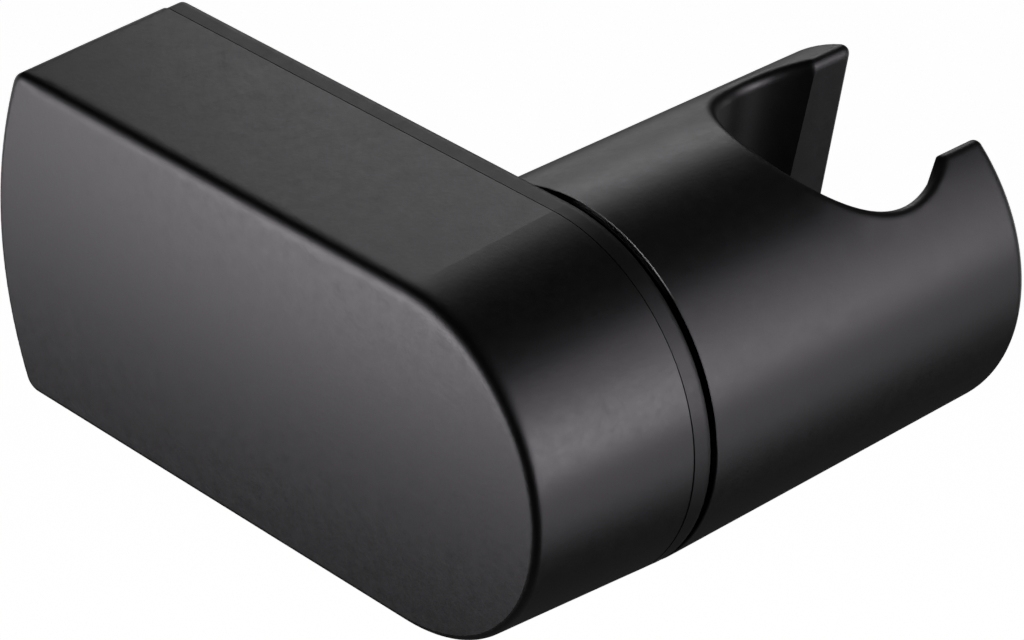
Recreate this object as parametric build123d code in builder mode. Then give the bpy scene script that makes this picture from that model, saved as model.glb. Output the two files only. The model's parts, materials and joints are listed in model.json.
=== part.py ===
# Hand shower holder: a D-shaped wall bracket with a cradle barrel that turns at its side.
# Millimetres. The wall is the plane Y = 0 and the holder stands out from it towards -Y.
# +X runs along the barrel, away from the bracket, and +Z is up.
# The origin is the middle of the wall plate's back face.
import os
from math import cos, radians, sin, tan

from build123d import *

os.makedirs("parts", exist_ok=True)

# Housing: a drafted D-shaped shell with a crowned face, closed by a thin cover
pivot_to_wall = 65.1
wall_gap = 0.3
draft_angle = 3.1
shell_depth = 20.2
shell_wall = 2.5
face_crown = 0.7
face_edge_radius = 0.8
end_corner_extra = 1.2
seam_gap = 0.1
cover_thickness = 2.2
cover_step = 0.05
cover_inset = 0.25
cover_edge_radius = 0.2
lip_depth = 3.0
lip_wall = 1.4
stiffener_height = 4.0
stiffener_thickness = 1.8
stiffener_spacing = 16.0

# Barrel: the cradle with its tapered socket and drafted mouth
barrel_radius = 21.15
barrel_length = 47.4
barrel_draft = 0.34
barrel_gap = 0.85
barrel_wall = 2.8
base_edge_radius = 0.2
rim_radius = 0.95
socket_from_end = 13.55
socket_lean = 11.2
socket_top_radius = 12.0
socket_taper = 3.43
socket_wall = 2.8
mouth_width = 16.75
mouth_draft = 2.0
hub_wall = 2.0
hub_web = 3.5
barrel_rib_thickness = 1.6
barrel_rib_count = 4

# Pivot: screw, nut, sleeve and the washers that give the barrel its friction
pivot_radius = 2.5
pivot_head_radius = 4.75
pivot_head_height = 3.3
pivot_head_rounding = 1.4
pivot_tip = 1.5
pivot_nut_flats = 8.0
pivot_nut_thickness = 4.0
nut_post_radius = 6.0
sleeve_radius = 3.6
post_radius = 7.2
friction_radius = 7.0
friction_thickness = 1.0
thrust_thickness = 0.8
spring_thickness = 0.5
spring_cone = 0.2
washer_radius = 5.3
washer_thickness = 1.0
cap_thickness = 2.2
cap_gap = 0.5
collar_length = 5.0
collar_wall = 2.2
seal_wire_radius = 0.75
seal_from_cover = 2.2
drive_slot_length = 5.0
drive_slot_width = 1.0
drive_slot_depth = 1.6

# Cover screws: self-tapping screws that end up under the barrel
cover_screw_count = 3
cover_screw_turn = 90.0
cover_screw_radius = 1.5
cover_screw_length = 10.0
cover_screw_head_radius = 2.8
cover_screw_head_height = 2.0
cover_screw_rounding = 0.8
cover_boss_radius = 3.1
cover_rib_thickness = 1.6

# Wall plate, and the screw from below that locks the housing on it
plate_thickness = 3.0
plate_clearance = 0.6
plate_corner_radius = 2.0
plate_hole_spacing = 16.0
plate_hole_radius = 2.3
plate_sink_radius = 4.3
flange_inset = 1.4
flange_length = 10.0
flange_thickness = 4.2
lock_radius = 2.0
lock_head_radius = 3.7
lock_length = 8.5
lock_from_wall = 8.2
lock_drive_flats = 2.5
lock_drive_depth = 1.4
lock_nut_width = 7.0
lock_nut_thickness = 2.2
lock_nut_cover = 1.0
seat_width = 10.0
seat_length = 9.0

# Clearances: running for a shaft in its hole, close and free round other pieces, face between flat faces
running_clearance = 0.06
close_clearance = 0.1
free_clearance = 0.3
face_clearance = 0.05

# How far a cutting form runs past what it cuts
past = 5.0

# Sizes of the tapered forms
draft_slope = tan(radians(draft_angle))
taper_slope = tan(radians(socket_taper))
mouth_slope = tan(radians(mouth_draft))
lean = radians(socket_lean)
barrel_end_radius = barrel_radius - barrel_length * tan(radians(barrel_draft))
socket_radius = socket_top_radius - barrel_radius * taper_slope

# Positions along the barrel's axis: the housing, then the barrel
face_x = -(shell_depth + seam_gap + cover_thickness) / 2
cavity_x = face_x + shell_wall
rim_x = face_x + shell_depth
cover_in_x = rim_x + seam_gap
cover_out_x = cover_in_x + cover_thickness
barrel_x = cover_out_x + barrel_gap
barrel_end_x = barrel_x + barrel_length
socket_x = barrel_end_x - socket_from_end
core_x = socket_x - socket_top_radius - socket_wall

# The pivot's stack, from the socket's wall back to the cover's post
cap_x = socket_x - socket_radius - cap_thickness
head_x = cap_x - cap_gap - pivot_head_height
washer_x = head_x - washer_thickness
spring_height = spring_thickness + spring_cone + face_clearance
spring_x = washer_x - 2 * spring_height
recess_x = spring_x - face_clearance - thrust_thickness
hub_x = recess_x - hub_web
post_end_x = hub_x - face_clearance - friction_thickness
pivot_tip_x = cover_in_x - pivot_tip


def half_height_at(x):
    # The housing's half height, which grows by the draft and ends a step below the barrel
    return barrel_radius - cover_step - (cover_out_x - x) * draft_slope


# Sizes that follow from the driving dimensions
end_corner_radius = face_edge_radius + end_corner_extra
end_radius = pivot_to_wall - wall_gap
crown_radius = (half_height_at(face_x) ** 2 + face_crown**2) / (2 * face_crown)
cavity_half_height = half_height_at(cavity_x) - shell_wall
lip_half_height = half_height_at(rim_x - lip_depth) - shell_wall - close_clearance
bore_radius = barrel_radius - barrel_wall
washer_bore = sleeve_radius + close_clearance
recess_radius = washer_radius + free_clearance
hub_radius = recess_radius + hub_wall
cut_half_length = barrel_radius + past
collar_radius = bore_radius - free_clearance
collar_bore = collar_radius - collar_wall
cover_screw_circle = (post_radius + collar_bore) / 2
seal_radius = bore_radius - close_clearance - seal_wire_radius
plate_width = 2 * (-cavity_x - plate_clearance)
plate_height = 2 * (cavity_half_height - plate_clearance)
flange_width = plate_width - 2 * flange_inset
flange_reach = plate_thickness + flange_length
housing_reach = pivot_to_wall - flange_reach - free_clearance
seat_z = plate_height / 2 + face_clearance
under_z = -half_height_at(0)
lock_head_z = under_z + free_clearance
lock_nut_z = -plate_height / 2 + lock_nut_cover

# Planes and axes
axial_plane = Plane(origin=(0, -pivot_to_wall, 0), x_dir=(1, 0, 0), z_dir=(0, -1, 0))
wallward_plane = Plane(origin=(0, -pivot_to_wall, 0), x_dir=(1, 0, 0), z_dir=(0, 1, 0))
pivot_axis = Axis((0, -pivot_to_wall, 0), (1, 0, 0))
socket_frame = Plane(origin=(socket_x, -pivot_to_wall, 0), x_dir=(1, 0, 0), z_dir=(0, -sin(lean), cos(lean)))
mouth_plane = Plane(origin=(socket_x, -pivot_to_wall, 0), x_dir=(0, cos(lean), sin(lean)), z_dir=(1, 0, 0))
from_base = (Align.CENTER, Align.CENTER, Align.MIN)


def section_at(x):
    # Plane across the barrel's axis: local X points to the wall and local Y points up
    return Plane(origin=(x, -pivot_to_wall, 0), x_dir=(0, 1, 0), z_dir=(1, 0, 0))


def level_at(z):
    # Level plane on the lock screw's axis
    return Plane(origin=(0, -lock_from_wall, z))


def disc(x, length, radius, mode=Mode.ADD):
    # Cylinder about the barrel's axis, from x onwards
    with Locations(section_at(x)):
        Cylinder(radius, length, align=from_base, mode=mode)


def ring(x, length, outer, inner):
    # Plain ring about the barrel's axis
    disc(x, length, outer)
    disc(x, length, inner, Mode.SUBTRACT)


def drafted_form(x_start, x_end, inset=0, mode=Mode.ADD):
    # D-shaped form about the barrel's axis with the housing's draft, inset all round
    start_height = half_height_at(x_start) - inset
    end_height = half_height_at(x_end) - inset
    with BuildSketch(wallward_plane, mode=Mode.PRIVATE) as sides:
        Polygon(
            (x_start, start_height),
            (x_end, end_height),
            (x_end, -end_height),
            (x_start, -start_height),
            align=None,
        )
    extrude(sides.sketch, amount=pivot_to_wall + past, mode=mode)
    with Locations(section_at((x_start + x_end) / 2)):
        Cone(start_height, end_height, x_end - x_start, mode=mode)


def housing_profile(half_height, reach, mode=Mode.ADD):
    # D outline: round about the barrel's axis, straight towards the wall
    Circle(half_height, mode=mode)
    Rectangle(reach, 2 * half_height, align=(Align.MIN, Align.CENTER), mode=mode)


def bow_end(radius):
    # Keeps what lies inside a cylinder about the barrel's axis, which bows the end near the wall
    disc(face_x - past, 2 * shell_depth, radius, Mode.INTERSECT)


def cover_screw_places():
    return PolarLocations(cover_screw_circle, cover_screw_count, start_angle=cover_screw_turn)


def socket_cone():
    # Tapered hole for a conical hose nut, wide end up
    spread = cut_half_length * taper_slope
    with Locations(socket_frame):
        Cone(socket_radius - spread, socket_radius + spread, 2 * cut_half_length, mode=Mode.SUBTRACT)


def save(piece, name):
    piece.part.label = name
    export_step(piece.part, f"parts/{name}.step")


# Housing shell: the outer form first, then the cavity and what stands in it
with BuildPart() as housing_shell:
    drafted_form(face_x - face_crown, rim_x)
    bow_end(end_radius)
    fillet(housing_shell.edges().filter_by(GeomType.ELLIPSE), end_corner_radius)
    with Locations((face_x - face_crown + crown_radius, -pivot_to_wall / 2, 0)):
        Cylinder(crown_radius, 4 * pivot_to_wall, rotation=(90, 0, 0), mode=Mode.INTERSECT)
    fillet(housing_shell.faces().sort_by(Axis.X)[0].edges(), face_edge_radius)
    drafted_form(cavity_x, rim_x + past, shell_wall, Mode.SUBTRACT)
    # Post that keeps the pivot nut in its pocket, and bosses for the cover screws
    with BuildSketch(section_at(cavity_x - shell_wall / 2)):
        Circle(nut_post_radius)
        with cover_screw_places():
            Circle(cover_boss_radius)
    extrude(amount=cover_in_x - cavity_x + shell_wall / 2)
    # Stiffeners along the inside of the face
    with BuildSketch(section_at(cavity_x - shell_wall / 2)):
        with GridLocations(0, stiffener_spacing, 1, 2):
            Rectangle(housing_reach, stiffener_thickness, align=(Align.MIN, Align.CENTER))
    extrude(amount=stiffener_height + shell_wall / 2)
    # Seats for the wall plate's flanges, above and below
    with BuildSketch(level_at(seat_z)):
        Rectangle(seat_width, seat_length)
    extrude(amount=-under_z - shell_wall / 2 - seat_z)
    with BuildSketch(level_at(-seat_z)):
        Rectangle(seat_width, seat_length)
    extrude(amount=under_z + shell_wall / 2 + seat_z)
    # Holes for the pivot screw's tip, the cover screws and the lock screw
    disc(pivot_tip_x - free_clearance, shell_depth, pivot_radius + free_clearance, Mode.SUBTRACT)
    with BuildSketch(section_at(cover_in_x - cover_screw_length)):
        with cover_screw_places():
            Circle(cover_screw_radius + close_clearance)
    extrude(amount=cover_screw_length, mode=Mode.SUBTRACT)
    sink_radius = lock_head_radius + close_clearance
    with Locations(level_at(under_z - past)):
        Cylinder(lock_radius + free_clearance, shell_wall + 2 * past, align=from_base, mode=Mode.SUBTRACT)
        Cylinder(sink_radius, past + free_clearance, align=from_base, mode=Mode.SUBTRACT)
    with Locations(level_at(lock_head_z)):
        Cone(
            sink_radius,
            lock_radius + close_clearance,
            lock_head_radius - lock_radius,
            align=from_base,
            mode=Mode.SUBTRACT,
        )

save(housing_shell, "housing_shell")

# Side cover: plate with a locating lip inside the shell, and the post and collar that carry the barrel
with BuildPart() as side_cover:
    drafted_form(cover_in_x, cover_out_x)
    bow_end(end_radius - cover_inset)
    fillet(side_cover.edges().filter_by(GeomType.ELLIPSE), end_corner_radius)
    fillet(side_cover.faces().sort_by(Axis.X)[-1].edges(), cover_edge_radius)
    with BuildSketch(section_at(rim_x - lip_depth)):
        housing_profile(lip_half_height, housing_reach)
        housing_profile(lip_half_height - lip_wall, pivot_to_wall, Mode.SUBTRACT)
    extrude(amount=lip_depth + seam_gap)
    disc(cover_out_x, collar_length, collar_radius)
    disc(cover_out_x, collar_length, collar_bore, Mode.SUBTRACT)
    disc(cover_out_x, post_end_x - cover_out_x, post_radius)
    with BuildSketch(section_at(cover_out_x)):
        with PolarLocations(0, cover_screw_count, start_angle=cover_screw_turn + 180 / cover_screw_count):
            Rectangle(collar_radius - collar_wall / 2, cover_rib_thickness, align=(Align.MIN, Align.CENTER))
    extrude(amount=collar_length)
    # Groove for the seal ring, pocket for the pivot nut, and the screw holes
    with BuildSketch(axial_plane):
        with Locations((cover_out_x + seal_from_cover, collar_radius)):
            Rectangle(
                2 * (seal_wire_radius + close_clearance),
                2 * (collar_radius - seal_radius + seal_wire_radius + face_clearance),
            )
    revolve(axis=pivot_axis, mode=Mode.SUBTRACT)
    with BuildSketch(section_at(cover_in_x)):
        RegularPolygon(pivot_nut_flats / 2 + close_clearance, 6, major_radius=False)
    extrude(amount=pivot_nut_thickness + face_clearance, mode=Mode.SUBTRACT)
    disc(cover_in_x, post_end_x - cover_in_x, pivot_radius + close_clearance, Mode.SUBTRACT)
    with BuildSketch(section_at(cover_in_x)):
        with cover_screw_places():
            Circle(cover_screw_radius + close_clearance)
    extrude(amount=cover_thickness, mode=Mode.SUBTRACT)

save(side_cover, "side_cover")

# Cradle barrel: solid form with the socket, the mouth and the rolled rim, then cored out from its base
with BuildPart() as holder_barrel:
    with Locations(section_at(barrel_x)):
        Cone(barrel_radius, barrel_end_radius, barrel_length, align=from_base)
    fillet(holder_barrel.edges().sort_by(Axis.X)[0], base_edge_radius)
    socket_cone()
    mouth_spread = cut_half_length * mouth_slope
    with BuildSketch(mouth_plane):
        Polygon(
            (mouth_width / 2 + mouth_spread, cut_half_length),
            (-mouth_width / 2 - mouth_spread, cut_half_length),
            (-mouth_width / 2 + mouth_spread, -cut_half_length),
            (mouth_width / 2 - mouth_spread, -cut_half_length),
            align=None,
        )
    extrude(amount=barrel_end_x - socket_x + past, mode=Mode.SUBTRACT)
    outside = holder_barrel.faces().sort_by(SortBy.AREA)[-1]
    rim_edges = outside.edges().filter_by(lambda e: e.center().X > barrel_x + rim_radius)
    prong_edges = holder_barrel.edges().filter_by(GeomType.LINE).group_by(Axis.X)[-1]
    fillet(rim_edges + prong_edges, rim_radius)
    # Core round the hub, with ribs across it, and the open base in front of the hub
    with BuildSketch(section_at(hub_x)):
        Circle(bore_radius)
        Circle(hub_radius, mode=Mode.SUBTRACT)
        with PolarLocations(hub_radius - hub_wall / 2, barrel_rib_count, start_angle=45):
            Rectangle(
                bore_radius - hub_radius + hub_wall,
                barrel_rib_thickness,
                align=(Align.MIN, Align.CENTER),
                mode=Mode.SUBTRACT,
            )
    extrude(amount=core_x - hub_x, mode=Mode.SUBTRACT)
    disc(barrel_x, hub_x - barrel_x, bore_radius, Mode.SUBTRACT)
    disc(hub_x, hub_web, sleeve_radius + running_clearance, Mode.SUBTRACT)
    disc(recess_x, socket_x - recess_x, recess_radius, Mode.SUBTRACT)

save(holder_barrel, "holder_barrel")

# Plug that closes the pivot screw's recess and follows the socket's wall
with BuildPart() as socket_cap:
    disc(cap_x, socket_x - cap_x, recess_radius - close_clearance)
    socket_cone()

save(socket_cap, "socket_cap")

# Pivot screw with a cross recess
with BuildPart() as pivot_screw:
    disc(pivot_tip_x, head_x - pivot_tip_x, pivot_radius)
    disc(head_x, pivot_head_height, pivot_head_radius)
    fillet(pivot_screw.edges().sort_by(Axis.X)[-1], pivot_head_rounding)
    with BuildSketch(section_at(head_x + pivot_head_height - drive_slot_depth)):
        Rectangle(drive_slot_length, drive_slot_width)
        Rectangle(drive_slot_width, drive_slot_length)
    extrude(amount=drive_slot_depth, mode=Mode.SUBTRACT)

save(pivot_screw, "pivot_screw")

with BuildPart() as pivot_nut:
    with BuildSketch(section_at(cover_in_x)):
        RegularPolygon(pivot_nut_flats / 2, 6, major_radius=False)
        Circle(pivot_radius + close_clearance, mode=Mode.SUBTRACT)
    extrude(amount=pivot_nut_thickness)

save(pivot_nut, "pivot_nut")

with BuildPart() as pivot_sleeve:
    ring(post_end_x, washer_x - post_end_x, sleeve_radius, pivot_radius + close_clearance)

save(pivot_sleeve, "pivot_sleeve")

with BuildPart() as friction_washer:
    ring(post_end_x, friction_thickness, friction_radius, washer_bore)

save(friction_washer, "friction_washer")

with BuildPart() as thrust_washer:
    ring(recess_x, thrust_thickness, washer_radius, washer_bore)

save(thrust_washer, "thrust_washer")

# Two disc springs, wide edges facing each other
with BuildPart() as disc_springs:
    with BuildSketch(axial_plane):
        Polygon(
            (spring_x, washer_bore),
            (spring_x + spring_cone, washer_radius),
            (spring_x + spring_cone + spring_thickness, washer_radius),
            (spring_x + spring_thickness, washer_bore),
            align=None,
        )
        mirror(about=Plane.YZ.offset(spring_x + spring_height))
    revolve(axis=pivot_axis)

save(disc_springs, "disc_springs")

with BuildPart() as head_washer:
    ring(washer_x, washer_thickness, washer_radius, pivot_radius + close_clearance)

save(head_washer, "head_washer")

# Seal ring on the collar, inside the barrel's rim
with BuildPart() as seal_ring:
    with BuildSketch(axial_plane):
        with Locations((cover_out_x + seal_from_cover, seal_radius)):
            Circle(seal_wire_radius)
    revolve(axis=pivot_axis)

save(seal_ring, "seal_ring")

with BuildPart() as cover_screws:
    with BuildSketch(section_at(cover_out_x)):
        with cover_screw_places():
            Circle(cover_screw_head_radius)
    extrude(amount=cover_screw_head_height)
    head_rims = cover_screws.edges().group_by(Axis.X)[-1]
    fillet(head_rims, cover_screw_rounding)
    with BuildSketch(section_at(cover_in_x - cover_screw_length + face_clearance)):
        with cover_screw_places():
            Circle(cover_screw_radius)
    extrude(amount=cover_screw_length + cover_thickness - face_clearance)

save(cover_screws, "cover_screws")

# Wall plate with its two countersunk holes, and flanges that the housing slides over
with BuildPart() as wall_plate:
    with BuildSketch(Plane.XZ):
        RectangleRounded(plate_width, plate_height, plate_corner_radius)
    extrude(amount=plate_thickness)
    with BuildSketch(Plane.XZ.offset(plate_thickness)):
        with GridLocations(0, plate_height - flange_thickness, 1, 2):
            Rectangle(flange_width, flange_thickness)
    extrude(amount=flange_length)
    with Locations(Plane.XZ.offset(plate_thickness)):
        with GridLocations(0, plate_hole_spacing, 1, 2):
            CounterSinkHole(plate_hole_radius, plate_sink_radius, plate_thickness, 90)
    # Slide-in pocket for the lock nut, and the lock screw's way through it
    with Locations((0, -lock_from_wall + lock_nut_width / 2 + close_clearance, lock_nut_z)):
        Box(
            lock_nut_width + 2 * close_clearance,
            flange_reach,
            lock_nut_thickness + close_clearance,
            align=(Align.CENTER, Align.MAX, Align.MIN),
            mode=Mode.SUBTRACT,
        )
    with Locations(level_at(-plate_height / 2)):
        Cylinder(lock_radius + close_clearance, flange_thickness, align=from_base, mode=Mode.SUBTRACT)

save(wall_plate, "wall_plate")

with BuildPart() as lock_nut:
    with BuildSketch(level_at(lock_nut_z)):
        Rectangle(lock_nut_width, lock_nut_width)
        Circle(lock_radius + close_clearance, mode=Mode.SUBTRACT)
    extrude(amount=lock_nut_thickness)

save(lock_nut, "lock_nut")

# Lock screw: countersunk head flush with the housing's underside, hexagon drive
with BuildPart() as lock_screw:
    with Locations(level_at(lock_head_z)):
        Cone(lock_head_radius, lock_radius, lock_head_radius - lock_radius, align=from_base)
        Cylinder(lock_radius, lock_length, align=from_base)
    with BuildSketch(level_at(lock_head_z)):
        RegularPolygon(lock_drive_flats / 2, 6, major_radius=False)
    extrude(amount=lock_drive_depth, mode=Mode.SUBTRACT)

save(lock_screw, "lock_screw")
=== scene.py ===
import json
import math

import bpy
from mathutils import Matrix, Vector


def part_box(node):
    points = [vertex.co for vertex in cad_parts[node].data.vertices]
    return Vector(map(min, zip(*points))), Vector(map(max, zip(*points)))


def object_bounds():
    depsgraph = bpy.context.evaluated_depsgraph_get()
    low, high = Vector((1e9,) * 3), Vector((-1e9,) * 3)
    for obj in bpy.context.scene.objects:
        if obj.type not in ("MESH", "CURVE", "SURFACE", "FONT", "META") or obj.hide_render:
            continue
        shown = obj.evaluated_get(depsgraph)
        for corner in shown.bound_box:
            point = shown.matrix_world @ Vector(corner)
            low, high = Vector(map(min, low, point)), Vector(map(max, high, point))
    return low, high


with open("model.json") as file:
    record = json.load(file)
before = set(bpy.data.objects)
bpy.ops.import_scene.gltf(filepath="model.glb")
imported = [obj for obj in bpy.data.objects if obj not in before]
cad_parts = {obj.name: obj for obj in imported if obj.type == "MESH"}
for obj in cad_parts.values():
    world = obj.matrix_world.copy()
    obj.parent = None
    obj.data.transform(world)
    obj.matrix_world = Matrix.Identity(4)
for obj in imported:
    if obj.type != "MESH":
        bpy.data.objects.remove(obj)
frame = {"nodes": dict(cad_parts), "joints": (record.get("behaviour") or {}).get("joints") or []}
nodes = frame["nodes"]
cadLow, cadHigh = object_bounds()
middle = (cadLow + cadHigh) / 2
pivot = Vector(frame["joints"][0]["pos_m"])  # a point on the axis that the barrel turns on
lockAxis = (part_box("lock_screw")[0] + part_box("lock_screw")[1]) / 2
print("frame:", len(nodes), "pieces loaded")


# node helpers

def addNode(tree, kind, **settings):
    node = tree.nodes.new(kind)
    for name, value in settings.items():
        setattr(node, name, value)
    return node


def wire(tree, source, target):
    tree.links.new(source, target)


def feed(tree, socket, value):
    if isinstance(value, bpy.types.NodeSocket):
        wire(tree, value, socket)
    else:
        socket.default_value = value


def mathNode(tree, operation, a, b=0.0):
    node = addNode(tree, "ShaderNodeMath", operation=operation)
    feed(tree, node.inputs[0], a)
    feed(tree, node.inputs[1], b)
    return node.outputs[0]


def vectorNode(tree, operation, a, b):
    node = addNode(tree, "ShaderNodeVectorMath", operation=operation)
    feed(tree, node.inputs[0], a)
    feed(tree, node.inputs[1], b)
    return node


def noiseNode(tree, vector, scale, detail, roughness):
    node = addNode(tree, "ShaderNodeTexNoise")
    wire(tree, vector, node.inputs["Vector"])
    feed(tree, node.inputs["Scale"], scale)
    node.inputs["Detail"].default_value = detail
    node.inputs["Roughness"].default_value = roughness
    return mathNode(tree, "SUBTRACT", node.outputs["Fac"], 0.5)  # centred on nought


def startGroup(name, inputs, outputs):
    group = bpy.data.node_groups.new(name, "ShaderNodeTree")
    for label, kind, value in inputs:
        socket = group.interface.new_socket(label, in_out="INPUT", socket_type="NodeSocket" + kind)
        if value is not None:
            socket.default_value = value
    for label in outputs:
        group.interface.new_socket(label, in_out="OUTPUT", socket_type="NodeSocketFloat")
    return group, addNode(group, "NodeGroupInput").outputs, addNode(group, "NodeGroupOutput").inputs


# spark-eroded mould texture with a slow mottle, for the plastics and the rubber

def makeMouldGrain():
    group, given, made = startGroup(
        "mouldGrain",
        [
            ("Vector", "Vector", None),
            ("Grain Scale", "Float", 1800.0),
            ("Mottle Scale", "Float", 160.0),
            ("Mottle Amount", "Float", 0.1),
            ("Roughness Middle", "Float", 0.4),
            ("Roughness Spread", "Float", 0.06),
        ],
        ["Tone", "Roughness", "Height"],
    )
    pits = noiseNode(group, given["Vector"], given["Grain Scale"], 3.0, 0.6)
    mottle = noiseNode(group, given["Vector"], given["Mottle Scale"], 4.0, 0.55)
    tone = mathNode(group, "MULTIPLY", mottle, given["Mottle Amount"])
    spread = mathNode(group, "MULTIPLY", mathNode(group, "ADD", mottle, pits), given["Roughness Spread"])
    wire(group, mathNode(group, "ADD", tone, 1.0), made["Tone"])
    wire(group, mathNode(group, "ADD", spread, given["Roughness Middle"]), made["Roughness"])
    wire(group, pits, made["Height"])
    return group


# fine rings that a lathe leaves round an axis, for the metals

def makeTurnedMarks():
    group, given, made = startGroup(
        "turnedMarks",
        [
            ("Vector", "Vector", None),
            ("Axis Point", "Vector", (0.0, 0.0, 0.0)),
            ("Across Axis", "Vector", (0.0, 1.0, 1.0)),
            ("Along Axis", "Vector", (1.0, 0.0, 0.0)),
            ("Ring Scale", "Float", 5000.0),
            ("Roughness Middle", "Float", 0.3),
            ("Roughness Spread", "Float", 0.15),
        ],
        ["Tone", "Roughness", "Height"],
    )
    local = vectorNode(group, "SUBTRACT", given["Vector"], given["Axis Point"]).outputs["Vector"]
    across = vectorNode(group, "MULTIPLY", local, given["Across Axis"]).outputs["Vector"]
    radius = addNode(group, "ShaderNodeVectorMath", operation="LENGTH")
    wire(group, across, radius.inputs[0])
    along = vectorNode(group, "DOT_PRODUCT", local, given["Along Axis"]).outputs["Value"]
    rings = addNode(group, "ShaderNodeCombineXYZ")
    wire(group, radius.outputs["Value"], rings.inputs["X"])
    wire(group, along, rings.inputs["Y"])
    marks = noiseNode(group, rings.outputs[0], given["Ring Scale"], 2.0, 0.7)
    stain = noiseNode(group, given["Vector"], 400.0, 4.0, 0.6)
    both = mathNode(group, "ADD", marks, stain)
    spread = mathNode(group, "MULTIPLY", both, given["Roughness Spread"])
    wire(group, mathNode(group, "ADD", mathNode(group, "MULTIPLY", stain, 0.2), 1.0), made["Tone"])
    wire(group, mathNode(group, "ADD", spread, given["Roughness Middle"]), made["Roughness"])
    wire(group, marks, made["Height"])
    return group


mouldGrain = makeMouldGrain()
turnedMarks = makeTurnedMarks()


def startMaterial(name, group, settings):
    material = bpy.data.materials.new(name)
    material.use_nodes = True
    tree = material.node_tree
    effect = addNode(tree, "ShaderNodeGroup", node_tree=group)
    wire(tree, addNode(tree, "ShaderNodeTexCoord").outputs["Object"], effect.inputs["Vector"])
    for label, value in settings.items():
        effect.inputs[label].default_value = value
    return material, tree, tree.nodes["Principled BSDF"], effect


def finishSurface(tree, shader, effect, look):
    tint = addNode(tree, "ShaderNodeMix", data_type="RGBA", blend_type="MULTIPLY")
    tint.inputs["Factor"].default_value = 1.0
    tint.inputs["A"].default_value = (*look["colour"], 1.0)
    wire(tree, effect.outputs["Tone"], tint.inputs["B"])
    wire(tree, tint.outputs["Result"], shader.inputs["Base Color"])
    wire(tree, effect.outputs["Roughness"], shader.inputs["Roughness"])
    bump = addNode(tree, "ShaderNodeBump")
    bump.inputs["Strength"].default_value = 1.0
    bump.inputs["Distance"].default_value = look["depth"]
    wire(tree, effect.outputs["Height"], bump.inputs["Height"])
    wire(tree, bump.outputs["Normal"], shader.inputs["Normal"])


def mouldedPlastic(name, look):
    material, tree, shader, effect = startMaterial(name, mouldGrain, {
        "Grain Scale": look["grain"],
        "Mottle Scale": look["mottleScale"],
        "Mottle Amount": look["mottle"],
        "Roughness Middle": look["roughness"],
        "Roughness Spread": look["spread"],
    })
    finishSurface(tree, shader, effect, look)
    shader.inputs["IOR"].default_value = look.get("ior", 1.5)
    shader.inputs["Specular Tint"].default_value = (*look.get("sheen", (1.0, 1.0, 1.0)), 1.0)
    shader.inputs["Subsurface Weight"].default_value = look.get("glow", 0.0)
    shader.inputs["Subsurface Scale"].default_value = 0.001
    return material


def turnedMetal(name, look, axisPoint, along):
    material, tree, shader, effect = startMaterial(name, turnedMarks, {
        "Axis Point": axisPoint,
        "Across Axis": [1.0 - abs(part) for part in along],
        "Along Axis": along,
        "Ring Scale": look["rings"],
        "Roughness Middle": look["roughness"],
        "Roughness Spread": look["spread"],
    })
    finishSurface(tree, shader, effect, look)
    shader.inputs["Metallic"].default_value = look["metallic"]
    return material


def placeMeasures(tree):
    place = addNode(tree, "ShaderNodeTexCoord").outputs["Object"]
    parts = addNode(tree, "ShaderNodeSeparateXYZ")
    wire(tree, place, parts.inputs[0])
    local = vectorNode(tree, "SUBTRACT", place, pivot).outputs["Vector"]
    outward = vectorNode(tree, "MULTIPLY", local, (0.0, 1.0, 1.0)).outputs["Vector"]
    fromAxis = addNode(tree, "ShaderNodeVectorMath", operation="LENGTH")
    wire(tree, outward, fromAxis.inputs[0])
    measures = {axis: parts.outputs[axis] for axis in "XYZ"}
    measures["R"] = fromAxis.outputs["Value"]  # from the axis that the barrel turns on
    measures["outward"] = outward
    return measures


def fadeIn(tree, measures, limits, amount=1.0):
    # each limit is a measure, the place where the amount is nought and the place where it is full
    for measure, nought, full in limits:
        fade = addNode(tree, "ShaderNodeMapRange")
        wire(tree, measures[measure], fade.inputs["Value"])
        fade.inputs["From Min"].default_value = nought
        fade.inputs["From Max"].default_value = full
        amount = mathNode(tree, "MULTIPLY", fade.outputs["Result"], amount)
    return amount


def softenEdges(material, radius, limits):
    # shades the edges a little rounder than they are moulded
    tree = material.node_tree
    bevel = addNode(tree, "ShaderNodeBevel", samples=8)
    wire(tree, fadeIn(tree, placeMeasures(tree), limits, radius), bevel.inputs["Radius"])
    wire(tree, bevel.outputs["Normal"], tree.nodes["Bump"].inputs["Normal"])
    return bevel.outputs["Normal"]


def crispBase(material, normal, limits):
    # carries the barrel wall's shading right down to its base edge
    tree = material.node_tree
    measures = placeMeasures(tree)
    radial = addNode(
        tree, "ShaderNodeVectorTransform", vector_type="NORMAL", convert_from="OBJECT", convert_to="WORLD",
    )
    wire(tree, measures["outward"], radial.inputs[0])
    mix = addNode(tree, "ShaderNodeMix", data_type="VECTOR")
    wire(tree, fadeIn(tree, measures, limits), mix.inputs["Factor"])
    wire(tree, normal, mix.inputs["A"])
    wire(tree, radial.outputs[0], mix.inputs["B"])
    wire(tree, mix.outputs["Result"], tree.nodes["Bump"].inputs["Normal"])


def paintedCatchLight(material, colour, limits):
    # painted highlight: a pale hairline painted on the upper arc of the base edge, where light catches
    tree = material.node_tree
    base = tree.nodes["Principled BSDF"].inputs["Base Color"]
    mix = addNode(tree, "ShaderNodeMix", data_type="RGBA")
    wire(tree, fadeIn(tree, placeMeasures(tree), limits), mix.inputs["Factor"])
    wire(tree, base.links[0].from_socket, mix.inputs["A"])
    mix.inputs["B"].default_value = (*colour, 1.0)
    wire(tree, mix.outputs["Result"], base)


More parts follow.
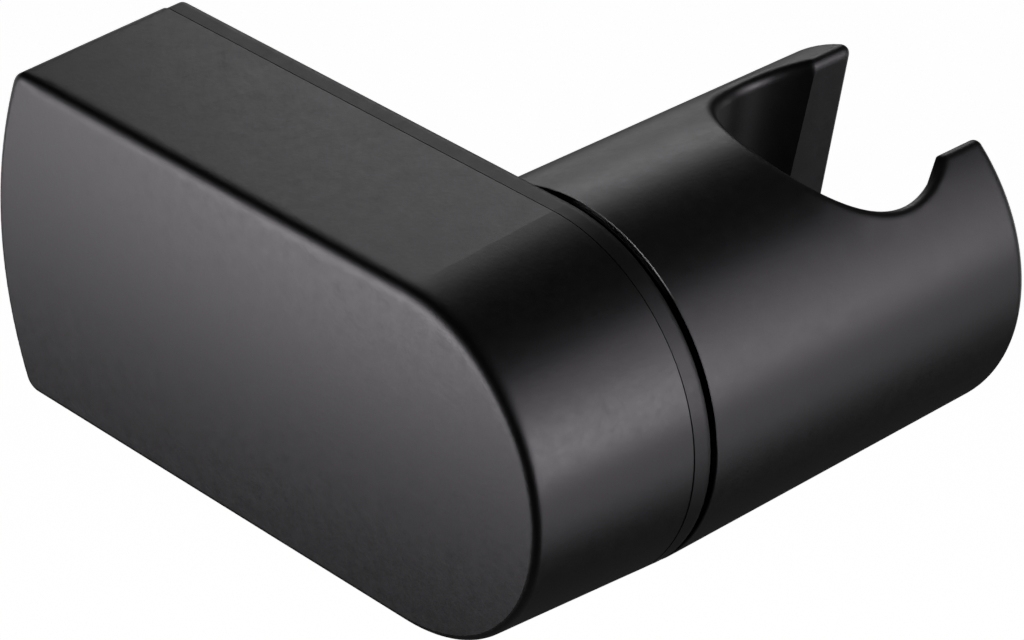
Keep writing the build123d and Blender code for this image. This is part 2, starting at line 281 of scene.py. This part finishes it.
def paintedSeamShade(material, seam):
    # painted shade: the housing's reflection taken away in a strip beside the cover, widening toward the
    # bottom, so the seam reads darker and wider
    tree = material.node_tree
    shine = tree.nodes["Principled BSDF"].inputs["Specular IOR Level"]
    level = shine.default_value
    measures = placeMeasures(tree)
    near = mathNode(tree, "ADD", measures["X"], fadeIn(tree, measures, seam["where"], seam["widest"]))
    line = fadeIn(tree, {"X": near}, [("X", seam["edge"], seam["edge"] + seam["blur"])], -level)
    wire(tree, mathNode(tree, "ADD", line, level), shine)


def dress(material, *names):
    for name in names:
        mesh = nodes[name].data
        mesh.materials.clear()
        mesh.materials.append(material)


# the three black mouldings, from one plastic

satinBlack = {
    "colour": (0.0052, 0.005, 0.0055),
    "sheen": (0.978, 0.922, 1.0),  # the faint violet cast of the black
    "grain": 1900.0,
    "mottleScale": 600.0,
    "mottle": 0.2,
    "roughness": 0.37,
    "spread": 0.11,
    "depth": 0.000008,
}

# places below are metres in the frame; softness is the radius that the shading rounds an edge by

frontEdge = {
    "softness": 0.0023,
    "where": [
        ("X", cadLow.x + 0.0045, cadLow.x + 0.004),
        ("Y", -0.002, -0.008),  # not at the wall end
        ("Z", -0.006, 0.015),
    ],
}
# painted shade along the seam beside the cover, widest at the bottom
seamShadeStrip = {
    "edge": 0.00895,
    "widest": 0.000175,
    "blur": 0.00001,
    "where": [("Z", 0.0125, -0.005)],
}
housingPlastic = mouldedPlastic("housingPlastic", satinBlack)
softenEdges(housingPlastic, frontEdge["softness"], frontEdge["where"])
paintedSeamShade(housingPlastic, seamShadeStrip)
dress(housingPlastic, "housing_shell")

coverLook = {
    **satinBlack,
    "roughness": 0.43,  # a little duller than its neighbours
    # painted shade: the sheen turned down so the cover's highlight falls darker than the housing's
    "sheen": (0.79, 0.745, 0.81),
}
coverEdge = {
    "softness": 0.0009,
    "where": [("X", 0.0098, 0.0102)],  # the edge beside the barrel only
}
coverPlastic = mouldedPlastic("coverPlastic", coverLook)
softenEdges(coverPlastic, coverEdge["softness"], coverEdge["where"])
dress(coverPlastic, "side_cover")

socketRim = {
    "softness": 0.001,
    "where": [
        ("X", cadHigh.x - 0.031, cadHigh.x - 0.03),
        ("R", 0.0188, 0.0196),  # not down in the socket
    ],
}
baseEdge = {
    "crispWhere": [("R", 0.02045, 0.02055), ("X", 0.0145, 0.0135), ("Z", -0.004, 0.004)],
    # painted highlight: the pale hairline along the base edge's upper arc
    "catchLightColour": (0.8, 0.79, 0.8),
    "catchLightWhere": [
        ("X", 0.01223, 0.0122),
        ("R", 0.0204, 0.02045),
        ("Y", -0.0645, -0.067),
        ("Z", 0.0155, 0.0175),
    ],
}
barrelPlastic = mouldedPlastic("barrelPlastic", satinBlack)
rimNormal = softenEdges(barrelPlastic, socketRim["softness"], socketRim["where"])
crispBase(barrelPlastic, rimNormal, baseEdge["crispWhere"])
paintedCatchLight(barrelPlastic, baseEdge["catchLightColour"], baseEdge["catchLightWhere"])
dress(barrelPlastic, "holder_barrel", "socket_cap")

greyMoulding = {
    "colour": (0.09, 0.09, 0.095),
    "grain": 1300.0,
    "mottleScale": 120.0,
    "mottle": 0.25,
    "roughness": 0.55,
    "spread": 0.1,
    "depth": 0.00002,
}
dress(mouldedPlastic("platePlastic", greyMoulding), "wall_plate")

whiteNylon = {
    "colour": (0.8, 0.79, 0.75),
    "grain": 1500.0,
    "mottleScale": 300.0,
    "mottle": 0.08,
    "roughness": 0.45,
    "spread": 0.1,
    "depth": 0.00001,
    "glow": 0.3,
}
dress(mouldedPlastic("nylon", whiteNylon), "friction_washer", "thrust_washer")

blackRubber = {
    "colour": (0.02, 0.02, 0.02),
    "grain": 2600.0,
    "mottleScale": 240.0,
    "mottle": 0.3,
    "roughness": 0.68,
    "spread": 0.12,
    "depth": 0.00002,
}
dress(mouldedPlastic("sealRubber", blackRubber), "seal_ring")

# metals: the pivot's pieces turned about the barrel's axis, the lock screw about its own

stainless = {
    "colour": (0.6, 0.6, 0.6),
    "metallic": 1.0,
    "rings": 6000.0,
    "roughness": 0.3,
    "spread": 0.2,
    "depth": 0.000004,
}
dress(
    turnedMetal("stainlessSteel", stainless, pivot, (1.0, 0.0, 0.0)),
    "pivot_screw", "pivot_nut", "disc_springs", "head_washer", "cover_screws",
)
dress(turnedMetal("nutSteel", stainless, lockAxis, (0.0, 0.0, 1.0)), "lock_nut")

turnedBrass = {
    "colour": (0.72, 0.55, 0.25),
    "metallic": 1.0,
    "rings": 5000.0,
    "roughness": 0.28,
    "spread": 0.2,
    "depth": 0.000005,
}
dress(turnedMetal("sleeveBrass", turnedBrass, pivot, (1.0, 0.0, 0.0)), "pivot_sleeve")

blackOxide = {
    "colour": (0.03, 0.03, 0.032),
    "metallic": 0.6,
    "rings": 4500.0,
    "roughness": 0.42,
    "spread": 0.25,
    "depth": 0.000006,
}
dress(turnedMetal("blackOxideSteel", blackOxide, lockAxis, (0.0, 0.0, 1.0)), "lock_screw")
print("materials: done")


# studio

studio = {
    "floorDrop": 1.6,  # the holder hangs well clear of it, as on a wall
    "floorSize": 9.0,
    "floorColour": (0.5, 0.5, 0.5),
    "floorRoughness": 0.9,
    "floorShine": 0.1,
    "floorFill": 0.98,  # what brings the lit floor up to white for the camera
    "ambient": 0.006,
}


def makeFloor():
    mesh = bpy.data.meshes.new("floor")
    half = studio["floorSize"] / 2
    z = cadLow.z - studio["floorDrop"]
    corners = [(-half, -half, z), (half, -half, z), (half, half, z), (-half, half, z)]
    mesh.from_pydata(corners, [], [(0, 1, 2, 3)])
    floor = bpy.data.objects.new("floor", mesh)
    bpy.context.scene.collection.objects.link(floor)
    material = bpy.data.materials.new("paleFloor")
    material.use_nodes = True
    tree = material.node_tree
    shader = tree.nodes["Principled BSDF"]
    shader.inputs["Base Color"].default_value = (*studio["floorColour"], 1.0)
    shader.inputs["Roughness"].default_value = studio["floorRoughness"]
    shader.inputs["Specular IOR Level"].default_value = studio["floorShine"]
    shader.inputs["Emission Color"].default_value = (1.0, 1.0, 1.0, 1.0)
    path = addNode(tree, "ShaderNodeLightPath")
    seen = mathNode(tree, "MAXIMUM", path.outputs["Is Camera Ray"], path.outputs["Is Transmission Ray"])
    wire(tree, mathNode(tree, "MULTIPLY", seen, studio["floorFill"]), shader.inputs["Emission Strength"])
    clear = addNode(tree, "ShaderNodeBsdfTransparent")  # open from below
    mix = addNode(tree, "ShaderNodeMixShader")
    wire(tree, addNode(tree, "ShaderNodeNewGeometry").outputs["Backfacing"], mix.inputs["Fac"])
    wire(tree, shader.outputs[0], mix.inputs[1])
    wire(tree, clear.outputs[0], mix.inputs[2])
    wire(tree, mix.outputs[0], tree.nodes["Material Output"].inputs["Surface"])
    mesh.materials.append(material)


makeFloor()


# softboxes, placed by compass angle from +X and height angle about the holder;
# the last two only give the far sides some form

softboxes = {
    "frontBox": {"angle": -60.0, "height": 18.0, "away": 0.9, "size": (0.655, 0.764), "watts": 3.26},
    "frontStrip": {"angle": -61.0, "height": 9.0, "away": 0.9, "size": (0.15, 0.4), "watts": 0.8},
    "cornerStrip": {"angle": -72.0, "height": 9.0, "away": 0.9, "size": (0.15, 0.5), "watts": 1.05},
    "frontLow": {"angle": -60.0, "height": -12.0, "away": 0.9, "size": (0.55, 0.585), "watts": 0.885},
    "frontUnder": {"angle": -58.0, "height": -30.0, "away": 0.9, "size": (0.45, 0.32), "watts": 0.28},
    "leftCore": {"angle": 144.0, "height": -14.0, "away": 0.9, "size": (0.285, 0.383), "watts": 3.16},
    "leftBox": {"angle": 144.0, "height": 4.0, "away": 0.9, "size": (0.516, 0.55), "watts": 1.23},
    "backBox": {"angle": 44.0, "height": 28.0, "away": 0.9, "size": (0.35, 0.253), "watts": 0.81},
    "sideBox": {"angle": 53.0, "height": 3.0, "away": 0.9, "size": (0.27, 0.3), "watts": 0.21},
    "endBox": {"angle": 0.0, "height": -16.0, "away": 0.9, "size": (0.5, 0.5), "watts": 0.8},
    "wallBox": {"angle": 92.0, "height": -14.0, "away": 0.9, "size": (0.5, 0.5), "watts": 0.6},
}


def makeSoftbox(name, box):
    angle, height = math.radians(box["angle"]), math.radians(box["height"])
    level = math.cos(height)
    toward = Vector((level * math.cos(angle), level * math.sin(angle), math.sin(height)))
    data = bpy.data.lights.new(name, "AREA")
    data.shape = "RECTANGLE"
    data.size, data.size_y = box["size"]
    data.energy = box["watts"]
    lamp = bpy.data.objects.new(name, data)
    bpy.context.scene.collection.objects.link(lamp)
    lamp.location = middle + box["away"] * toward
    lamp.rotation_mode = "QUATERNION"
    lamp.rotation_quaternion = (-toward).to_track_quat("-Z", "Y")


for name, box in softboxes.items():
    makeSoftbox(name, box)


def makeWorld():
    world = bpy.data.worlds.new("studio")
    bpy.context.scene.world = world
    world.use_nodes = True
    tree = world.node_tree
    background = tree.nodes["Background"]
    background.inputs["Color"].default_value = (1.0, 1.0, 1.0, 1.0)
    path = addNode(tree, "ShaderNodeLightPath")
    seen = mathNode(tree, "MAXIMUM", path.outputs["Is Camera Ray"], path.outputs["Is Transmission Ray"])
    wire(tree, mathNode(tree, "MAXIMUM", seen, studio["ambient"]), background.inputs["Strength"])


makeWorld()

# camera, fitted to the outlines of the photographed holder

view = {
    "place": (-0.28032, -0.35780, 0.25594),
    "yaw": 44.1145,
    "pitch": 31.0637,
    "roll": 0.8739,
    "lens": 165.11,
    "sensor": 36.0,
    "nearest": 0.01,
}


def makeCamera():
    yaw, pitch, roll = (math.radians(view[turn]) for turn in ("yaw", "pitch", "roll"))
    back = Vector((-math.sin(yaw) * math.cos(pitch), -math.cos(yaw) * math.cos(pitch), math.sin(pitch)))
    level = Vector((math.cos(yaw), -math.sin(yaw), 0.0))
    right = math.cos(roll) * level + math.sin(roll) * back.cross(level)
    turn = Matrix((right, back.cross(right), back)).transposed().to_4x4()
    data = bpy.data.cameras.new("camera")
    data.lens = view["lens"]
    data.sensor_width = view["sensor"]
    data.clip_start = view["nearest"]
    camera = bpy.data.objects.new("camera", data)
    bpy.context.scene.collection.objects.link(camera)
    camera.matrix_world = Matrix.Translation(view["place"]) @ turn
    bpy.context.scene.camera = camera


makeCamera()
bpy.context.scene.view_settings.view_transform = "Standard"
print("studio: done")
